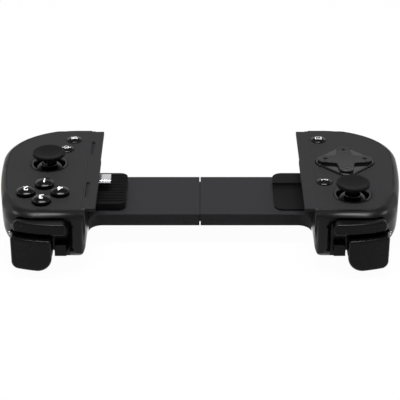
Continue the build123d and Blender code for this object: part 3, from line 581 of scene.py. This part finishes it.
def screw_tree():
    """A socket-head screw standing on each point, which is the middle of its head's face."""
    labels = ("Head Radius", "Head Height", "Shank Radius", "Length", "Drive Radius", "Drive Depth")
    tree, given = new_tree("Case screws", {label: "Float" for label in labels})
    made = {}
    for part, sides, radius, depth in (
        ("head", 40, "Head Radius", "Head Height"),
        ("shank", 28, "Shank Radius", "Length"),
        ("drive", 6, "Drive Radius", "Drive Depth"),
    ):
        drum = add_node(
            tree,
            "GeometryNodeMeshCylinder",
            inputs={"Vertices": sides, "Radius": given[radius], "Depth": given[depth]},
        )
        half = add_node(tree, "ShaderNodeMath", {"operation": "MULTIPLY"}, {0: given[depth], 1: 0.5})
        rise = add_node(tree, "ShaderNodeCombineXYZ", inputs={"Z": half.outputs["Value"]})
        moved = add_node(
            tree,
            "GeometryNodeTransform",
            inputs={"Geometry": drum.outputs["Mesh"], "Translation": rise.outputs["Vector"]},
        )
        made[part] = moved.outputs["Geometry"]
    solid = add_node(tree, "GeometryNodeMeshBoolean", {"operation": "UNION"})
    tree.links.new(made["head"], solid.inputs["Mesh 2"])
    tree.links.new(made["shank"], solid.inputs["Mesh 2"])
    cut = add_node(
        tree,
        "GeometryNodeMeshBoolean",
        {"operation": "DIFFERENCE"},
        {"Mesh 1": solid.outputs["Mesh"]},
    )
    tree.links.new(made["drive"], cut.inputs["Mesh 2"])
    spots = add_node(tree, "GeometryNodeMeshToPoints", inputs={"Mesh": given["Geometry"]})
    screws = add_node(
        tree,
        "GeometryNodeInstanceOnPoints",
        inputs={"Points": spots.outputs["Points"], "Instance": cut.outputs["Mesh"]},
    )
    end_tree(tree, screws.outputs["Instances"], given)
    return tree


def coil_tree():
    """A wire coil along X about a place."""
    sizes = dict.fromkeys(("Turns", "Radius", "Wire", "Length"), "Float")
    tree, given = new_tree("Wire coil", {**sizes, "Middle": "Vector"})
    spiral = add_node(
        tree,
        "GeometryNodeCurveSpiral",
        inputs={
            "Resolution": 24,
            "Rotations": given["Turns"],
            "Start Radius": given["Radius"],
            "End Radius": given["Radius"],
            "Height": given["Length"],
        },
    )
    section = {"Resolution": 10, "Radius": given["Wire"]}
    wire = add_node(tree, "GeometryNodeCurvePrimitiveCircle", inputs=section)
    coil = add_node(
        tree,
        "GeometryNodeCurveToMesh",
        inputs={
            "Curve": spiral.outputs["Curve"],
            "Profile Curve": wire.outputs["Curve"],
            "Fill Caps": True,
        },
    )
    half = add_node(tree, "ShaderNodeMath", {"operation": "MULTIPLY"}, {0: given["Length"], 1: -0.5})
    back = add_node(tree, "ShaderNodeCombineXYZ", inputs={"Z": half.outputs["Value"]})
    centred = add_node(
        tree,
        "GeometryNodeTransform",
        inputs={"Geometry": coil.outputs["Mesh"], "Translation": back.outputs["Vector"]},
    )
    turned = add_node(
        tree,
        "GeometryNodeTransform",
        inputs={
            "Geometry": centred.outputs["Geometry"],
            "Translation": given["Middle"],
            "Rotation": (0, math.radians(90), 0),
        },
    )
    end_tree(tree, turned.outputs["Geometry"], given)
    return tree


# Printed signs


def sign_mesh(name, outlines, place, lift, curve_radius, cell):
    """A thin print of flat outlines, laid on a low dome whose top is at a place."""
    made = bmesh.new()
    for outline in outlines:
        made.faces.new([made.verts.new((x, y, 0)) for x, y in outline])
    bmesh.ops.triangulate(made, faces=made.faces)
    drape(made, place, lift, curve_radius, cell)
    mesh = bpy.data.meshes.new(name)
    made.to_mesh(mesh)
    made.free()
    return mesh


def drape(made, place, lift, curve_radius, cell):
    """Cuts a flat mesh finely and bends it over a dome, a lift above its surface."""
    for _ in range(DRAPE_PASSES):
        long = [e for e in made.edges if e.calc_length() > cell]
        if not long:
            break
        bmesh.ops.subdivide_edges(made, edges=long, cuts=1)
        bmesh.ops.triangulate(made, faces=made.faces)
    bmesh.ops.recalc_face_normals(made, faces=made.faces)
    if made.faces and sum(f.normal.z for f in made.faces) < 0:
        bmesh.ops.reverse_faces(made, faces=made.faces)
    for vert in made.verts:
        across = vert.co.x**2 + vert.co.y**2
        drop = curve_radius - math.sqrt(curve_radius**2 - across)
        vert.co = Vector((place.x - vert.co.x, place.y - vert.co.y, place.z + lift - drop))


def numeral(name, text, height, place, lift, curve_radius):
    """A printed numeral that reads from the player's side."""
    curve = bpy.data.curves.new(name, "FONT")
    curve.body = text
    curve.size = height / CAP_SHARE
    curve.align_x = "CENTER"
    curve.align_y = "CENTER"
    curve.offset = height * BOLDER
    holder = placed(name, curve)
    flat = bpy.data.meshes.new_from_object(holder)
    bpy.data.objects.remove(holder)
    bpy.data.curves.remove(curve)
    made = bmesh.new()
    made.from_mesh(flat)
    bpy.data.meshes.remove(flat)
    bmesh.ops.remove_doubles(made, verts=made.verts, dist=SPECK)
    centre = [(min(v.co[i] for v in made.verts) + max(v.co[i] for v in made.verts)) / 2 for i in (0, 1)]
    for vert in made.verts:
        vert.co.x -= centre[0]
        vert.co.y -= centre[1]
    bmesh.ops.triangulate(made, faces=made.faces)
    drape(made, place, lift, curve_radius, height / NUMERAL_CELLS)
    mesh = bpy.data.meshes.new(name)
    made.to_mesh(mesh)
    made.free()
    return mesh


def bar(x, y, width, height):
    """A flat bar about a centre."""
    a, b = width / 2, height / 2
    return [(x - a, y - b), (x + a, y - b), (x + a, y + b), (x - a, y + b)]


def disc(x, y, radius, count=20):
    """A flat disc about a centre."""
    turn = 2 * math.pi / count
    return [(x + radius * math.cos(i * turn), y + radius * math.sin(i * turn)) for i in range(count)]


def ring_strips(radius, width, count=28):
    """A flat ring cut into strips."""
    inner, outer = radius - width / 2, radius + width / 2
    turn = 2 * math.pi / count
    strips = []
    for i in range(count):
        a, b = i * turn, (i + 1) * turn
        strips.append([
            (inner * math.cos(a), inner * math.sin(a)),
            (outer * math.cos(a), outer * math.sin(a)),
            (outer * math.cos(b), outer * math.sin(b)),
            (inner * math.cos(b), inner * math.sin(b)),
        ])
    return strips


# What a user would change


class ControllerLook(bpy.types.PropertyGroup):
    """Sizes and colours of the controller's surfaces."""

    weld: bpy.props.FloatProperty(
        name="Weld",
        description="How near points of a surface merge",
        default=0.002 * MM,
        unit="LENGTH",
        precision=6,
    )
    shell_colour: bpy.props.StringProperty(
        name="Shell", description="The shells' colour, as an sRGB hex value", default="#060606"
    )
    # The plates' black lightened with painted sheen: a grey that stands in for the reflection their tops
    # catch
    plate_colour: bpy.props.StringProperty(
        name="Plates",
        description="The faceplates' and the bridge's colour, as an sRGB hex value",
        default="#242425",
    )
    gloss_colour: bpy.props.StringProperty(
        name="Gloss", description="The buttons' and rings' colour, as an sRGB hex value", default="#050505"
    )
    ink_colour: bpy.props.StringProperty(
        name="Ink", description="The printed signs' colour, as an sRGB hex value", default="#f2f2f0"
    )
    numeral_height: bpy.props.FloatProperty(
        name="Numerals",
        description="Height of the face buttons' numerals",
        default=4.0 * MM,
        unit="LENGTH",
        precision=5,
    )
    button_dome: bpy.props.FloatProperty(
        name="Button dome",
        description="Radius of the face buttons' domes",
        default=9.146 * MM,
        unit="LENGTH",
        precision=5,
    )
    key_dome: bpy.props.FloatProperty(
        name="Key dome",
        description="Radius of the small keys' domes",
        default=8.3 * MM,
        unit="LENGTH",
        precision=5,
    )
    rib_pitch: bpy.props.FloatProperty(
        name="Rib pitch",
        description="Spacing of the ribs on the phone's rest",
        default=1.7 * MM,
        unit="LENGTH",
        precision=5,
    )
    rib_width: bpy.props.FloatProperty(
        name="Rib width", description="Width of each rib", default=1.0 * MM, unit="LENGTH", precision=5
    )
    rib_height: bpy.props.FloatProperty(
        name="Rib height",
        description="Thickness of each rib, half of it sunk",
        default=0.5 * MM,
        unit="LENGTH",
        precision=5,
    )
    ink_lift: bpy.props.FloatProperty(
        name="Ink lift",
        description="How far the print stands above its key",
        default=0.03 * MM,
        unit="LENGTH",
        precision=6,
    )


class ControllerStudio(bpy.types.PropertyGroup):
    """The camera, the lamps and the backdrop."""

    camera_y: bpy.props.FloatProperty(
        name="Camera Y",
        description="The camera's place along Y, less than zero in front",
        default=-678.43 * MM,
        unit="LENGTH",
    )
    camera_z: bpy.props.FloatProperty(
        name="Camera height", description="The camera's height", default=386.91 * MM, unit="LENGTH"
    )
    camera_tilt: bpy.props.FloatProperty(
        name="Camera tilt",
        description="The camera's turn from straight down",
        default=math.radians(61.32),
        unit="ROTATION",
    )
    camera_lens: bpy.props.FloatProperty(
        name="Lens", description="Focal length on a 36 mm sensor", default=134.7, unit="CAMERA"
    )
    top_lamp: bpy.props.FloatProperty(
        name="Top lamp", description="Power of the overhead bar in watts", default=7.5, unit="POWER"
    )
    side_lamp: bpy.props.FloatProperty(
        name="Side lamps", description="Power of each side lamp in watts", default=0.8, unit="POWER"
    )
    fill: bpy.props.FloatProperty(
        name="Fill", description="Strength of the even light from all round", default=0.3
    )
    sweep_radius: bpy.props.FloatProperty(
        name="Sweep radius", description="Radius of the round paper floor", default=1.6, unit="LENGTH"
    )
    sweep_height: bpy.props.FloatProperty(
        name="Sweep height", description="Height of the paper's turned-up edge", default=1.0, unit="LENGTH"
    )


# Operators


class CONTROLLER_OT_stage(bpy.types.Operator):
    """Floor, even background, lamps and camera"""

    bl_idname = "controller.stage"
    bl_label = "Stage"

    def execute(self, context):
        studio = context.scene.controller_studio
        context.scene.view_settings.view_transform = "Standard"
        lens = bpy.data.cameras.new("Camera")
        lens.sensor_fit = "HORIZONTAL"
        lens.sensor_width = SENSOR_WIDTH
        lens.lens = studio.camera_lens
        camera = placed("Camera", lens)
        camera.location = (0, studio.camera_y, studio.camera_z)
        camera.rotation_euler = (studio.camera_tilt, 0, 0)
        context.scene.camera = camera

        self.add_lamp("Top lamp", TOP_LAMP_PLACE, TOP_LAMP_TARGET, TOP_LAMP_SIZE, studio.top_lamp)
        for name, side in (("Left lamp", -1), ("Right lamp", 1)):
            place = (side * SIDE_LAMP_PLACE[0], *SIDE_LAMP_PLACE[1:])
            self.add_lamp(name, place, SIDE_LAMP_TARGET, SIDE_LAMP_SIZE, studio.side_lamp)

        world = bpy.data.worlds.new("Studio")
        context.scene.world = world
        tree = cleared(world)
        light = {"Color": hex_colour("#ffffff"), "Strength": studio.fill}
        glow = add_node(tree, "ShaderNodeBackground", inputs=light)
        add_node(tree, "ShaderNodeOutputWorld", inputs={"Surface": glow.outputs["Background"]})

        self.add_sweep(studio.sweep_radius, studio.sweep_height)
        return {"FINISHED"}

    def add_sweep(self, radius, height):
        """A round paper floor whose edge curves up into a low wall."""
        bend = height / 2
        rings = [(FLOOR_MIDDLE, 0.0), (radius - bend, 0.0)]
        for step in range(1, FLOOR_STEPS + 1):
            turn = math.radians(90 * step / FLOOR_STEPS)
            rings.append((radius - bend + bend * math.sin(turn), bend - bend * math.cos(turn)))
        rings.append((radius, height))
        count = FLOOR_SIDES
        verts = [(0, 0, 0)]
        for reach, rise in rings:
            for index in range(count):
                turn = 2 * math.pi * index / count
                verts.append((reach * math.cos(turn), reach * math.sin(turn), rise))
        faces = [(0, 1 + i, 1 + (i + 1) % count) for i in range(count)]
        for row in range(len(rings) - 1):
            low, high = 1 + row * count, 1 + (row + 1) * count
            for i in range(count):
                after = (i + 1) % count
                faces.append((low + i, high + i, high + after, low + after))
        mesh = bpy.data.meshes.new("Floor")
        mesh.from_pydata(verts, [], faces)
        mesh.polygons.foreach_set("use_smooth", [True] * len(mesh.polygons))
        mesh.materials.append(self.floor_paper())
        floor = placed("Floor", mesh)

    @staticmethod
    def add_lamp(name, place, target, size, power):
        """A rectangular lamp that points at a target."""
        data = bpy.data.lights.new(name, "AREA")
        data.shape = "RECTANGLE"
        data.size, data.size_y = size
        data.energy = power
        lamp = placed(name, data)
        lamp.location = place
        aim = Vector(target) - Vector(place)
        lamp.rotation_euler = aim.to_track_quat("-Z", "Y").to_euler()

    @staticmethod
    def floor_paper():
        """White studio paper: matt to the lamps, and nearly even white to the camera and in reflections."""
        material = bpy.data.materials.new("White studio paper")
        tree = cleared(material)
        path = add_node(tree, "ShaderNodeLightPath")
        seen = path.outputs["Is Camera Ray"]
        for ray in ("Is Glossy Ray", "Is Transmission Ray"):
            both = {0: seen, 1: path.outputs[ray]}
            seen = add_node(tree, "ShaderNodeMath", {"operation": "MAXIMUM"}, both).outputs["Value"]
        paper = add_node(tree, "ShaderNodeBsdfDiffuse", inputs={"Color": hex_colour("#d8d8d8")})
        light = {"Color": hex_colour("#ffffff"), "Strength": 1.0}
        white = add_node(tree, "ShaderNodeEmission", inputs=light)
        share = add_node(tree, "ShaderNodeMath", {"operation": "MULTIPLY"}, {0: seen, 1: FLOOR_WHITE})
        mix = add_node(
            tree,
            "ShaderNodeMixShader",
            inputs={0: share.outputs[0], 1: paper.outputs[0], 2: white.outputs[0]},
        )
        add_node(tree, "ShaderNodeOutputMaterial", inputs={"Surface": mix.outputs[0]})
        return material


class CONTROLLER_OT_shells(bpy.types.Operator):
    """Housings, palm covers and faceplates"""

    bl_idname = "controller.shells"
    bl_label = "Shells and faceplates"

    def execute(self, context):
        for side in SIDES:
            for part in ("housing", "palm_cover", "faceplate"):
                dress(f"{side}_{part}")
        return {"FINISHED"}


class CONTROLLER_OT_bridge(bpy.types.Operator):
    """Bridge covers and the rail inside"""

    bl_idname = "controller.bridge"
    bl_label = "Bridge"

    def execute(self, context):
        for side in SIDES:
            dress(f"{side}_bridge_cover")
            paint(f"{side}_bridge_springs")
        dress("slide_rail")
        return {"FINISHED"}


class CONTROLLER_OT_sticks(bpy.types.Operator):
    """Thumb sticks with their rings and gimbals"""

    bl_idname = "controller.sticks"
    bl_label = "Sticks"

    def execute(self, context):
        for side in SIDES:
            for part in ("ring", "base", "cap"):
                dress(f"{side}_stick_{part}")
            for part in ("yoke", "carrier", "module"):
                paint(f"{side}_stick_{part}")
        return {"FINISHED"}


class CONTROLLER_OT_face_buttons(bpy.types.Operator):
    """Face buttons with plain numerals"""

    bl_idname = "controller.face_buttons"
    bl_label = "Face buttons"

    def execute(self, context):
        look = context.scene.controller_look
        for number in range(1, 5):
            node = f"right_button_{number}"
            dress(node)
            laid = (middle(node), look.ink_lift, look.button_dome)
            mesh = numeral(f"numeral_{number}", str(number), look.numeral_height, *laid)
            finish_piece(mesh, node, material_for("ink"))
        return {"FINISHED"}


class CONTROLLER_OT_small_keys(bpy.types.Operator):
    """Small round keys with plain signs"""

    bl_idname = "controller.small_keys"
    bl_label = "Small keys"

    def execute(self, context):
        look = context.scene.controller_look
        side = 1.45 * MM
        dot = 0.42 * MM
        signs = {
            "right_upper_key": [bar(0, y * 0.75 * MM, 3.4 * MM, STROKE) for y in (-1, 0, 1)],
            "right_lower_key": ring_strips(1.15 * MM, STROKE)
            + [bar(x * 1.95 * MM, 0, 0.8 * MM, STROKE) for x in (-1, 1)],
            "left_upper_key": [bar(0, y * side, 2 * side + STROKE, STROKE) for y in (-0.8, 0.8)]
            + [bar(x * side, 0, STROKE, 1.2 * side) for x in (-1, 1)],
            "left_lower_key": [disc(x * 1.35 * MM, 0, dot) for x in (-1, 0, 1)],
        }
        for node, outlines in signs.items():
            dress(node)
            laid = (middle(node), look.ink_lift, look.key_dome)
            mesh = sign_mesh(f"sign_{node}", outlines, *laid, SIGN_CELL)
            finish_piece(mesh, node, material_for("ink"))
        return {"FINISHED"}


class CONTROLLER_OT_direction_pad(bpy.types.Operator):
    """Direction pad on its ball"""

    bl_idname = "controller.direction_pad"
    bl_label = "Direction pad"

    def execute(self, context):
        dress("left_direction_pad", material=material_for("pad"))
        paint("left_pad_ball")
        paint("left_pad_post")
        return {"FINISHED"}


class CONTROLLER_OT_shoulder_keys(bpy.types.Operator):
    """Bumpers, side keys and triggers"""

    bl_idname = "controller.shoulder_keys"
    bl_label = "Shoulder keys"

    def execute(self, context):
        for side in SIDES:
            for part in ("bumper", "side_key", "trigger"):
                dress(f"{side}_{part}")
            paint(f"{side}_trigger_pin")
        self.add_springs(coil_tree())
        return {"FINISHED"}

    @staticmethod
    def add_springs(tree):
        """A wound wire spring round each trigger's pin."""
        for side in SIDES:
            node = f"{side}_trigger_spring"
            low, high = (Vector(corner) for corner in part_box(node))
            wire = 0.25 * MM
            values = {
                "Turns": 5.0,
                "Radius": (high.y - low.y) / 2 - wire,
                "Wire": wire,
                "Length": high.x - low.x - 2 * wire,
                "Middle": (low + high) / 2,
                "Material": material_for(slot_of(node)),
            }
            mesh = grown(f"{node}_wire", tree, values)
            smooth(mesh, degrees=50)
            finish_piece(mesh, node, replaces=(node,))


class CONTROLLER_OT_phone_rests(bpy.types.Operator):
    """Rubber rests and the phone's plug"""

    bl_idname = "controller.phone_rests"
    bl_label = "Phone rests and plug"

    def execute(self, context):
        for side in SIDES:
            dress(f"{side}_phone_pad")
        for part in ("boot", "shell", "tongue"):
            dress(f"right_plug_{part}")
        self.add_ribs(context.scene.controller_look)
        return {"FINISHED"}

    @staticmethod
    def add_ribs(look):
        """Rounded ribs along the phone's edge on the rest beside the plug."""
        node = "right_phone_pad"
        low, high = (Vector(corner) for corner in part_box(node))
        edge = 1.2 * MM
        count = int((high.y - low.y - 2 * edge) / look.rib_pitch)
        first = (low.y + high.y - (count - 1) * look.rib_pitch) / 2
        values = {
            "Count": count,
            "Pitch": look.rib_pitch,
            "Width": look.rib_width,
            "Height": look.rib_height,
            "Length": high.x - low.x - 2 * edge,
            "Start": Vector((low.x + edge, first, high.z)),
            "Material": material_for(slot_of(node)),
        }
        mesh = grown(f"{node}_ribs", rib_tree(), values)
        smooth(mesh, degrees=40)
        finish_piece(mesh, node)


class CONTROLLER_OT_insides(bpy.types.Operator):
    """Boards, switches and case screws"""

    bl_idname = "controller.insides"
    bl_label = "Insides"

    def execute(self, context):
        for side in SIDES:
            for part in ("main_board", "shoulder_board", "switches"):
                paint(f"{side}_{part}")
        self.add_screws(screw_tree())
        return {"FINISHED"}

    @staticmethod
    def add_screws(tree):
        """Three socket-head screws below each grip."""
        for side in SIDES:
            node = f"{side}_case_screws"
            boxes = islands(node)
            low, high = boxes[0]
            values = {
                "Head Radius": (high.x - low.x) / 2,
                "Head Height": 1.4 * MM,
                "Shank Radius": 0.95 * MM,
                "Length": high.z - low.z,
                "Drive Radius": 0.9 * MM,
                "Drive Depth": 0.8 * MM,
                "Material": material_for(slot_of(node)),
            }
            spots = [((a.x + b.x) / 2, (a.y + b.y) / 2, a.z) for a, b in boxes]
            mesh = grown(f"{node}_heads", tree, values, spots)
            smooth(mesh, degrees=35)
            finish_piece(mesh, node, replaces=(node,))


OPERATORS = (
    CONTROLLER_OT_stage,
    CONTROLLER_OT_shells,
    CONTROLLER_OT_bridge,
    CONTROLLER_OT_sticks,
    CONTROLLER_OT_face_buttons,
    CONTROLLER_OT_small_keys,
    CONTROLLER_OT_direction_pad,
    CONTROLLER_OT_shoulder_keys,
    CONTROLLER_OT_phone_rests,
    CONTROLLER_OT_insides,
)


class CONTROLLER_PT_panel(bpy.types.Panel):
    """Lists the controller's settings and steps"""

    bl_idname = "CONTROLLER_PT_panel"
    bl_label = "Phone Game Controller"
    bl_space_type = "VIEW_3D"
    bl_region_type = "UI"
    bl_category = "Controller"

    def draw(self, context):
        for group in (context.scene.controller_look, context.scene.controller_studio):
            box = self.layout.box()
            for name in group.__annotations__:
                box.prop(group, name)
        for step in OPERATORS:
            self.layout.operator(step.bl_idname)


CLASSES = (ControllerLook, ControllerStudio, *OPERATORS, CONTROLLER_PT_panel)


def register():
    for item in CLASSES:
        bpy.utils.register_class(item)
    bpy.types.Scene.controller_look = bpy.props.PointerProperty(type=ControllerLook)
    bpy.types.Scene.controller_studio = bpy.props.PointerProperty(type=ControllerStudio)


def unregister():
    del bpy.types.Scene.controller_studio
    del bpy.types.Scene.controller_look
    for item in reversed(CLASSES):
        bpy.utils.unregister_class(item)


def main():
    """Builds everything."""
    register()
    for step in OPERATORS:
        group, name = step.bl_idname.split(".")
        getattr(getattr(bpy.ops, group), name)()


if __name__ == "__main__":
    main()
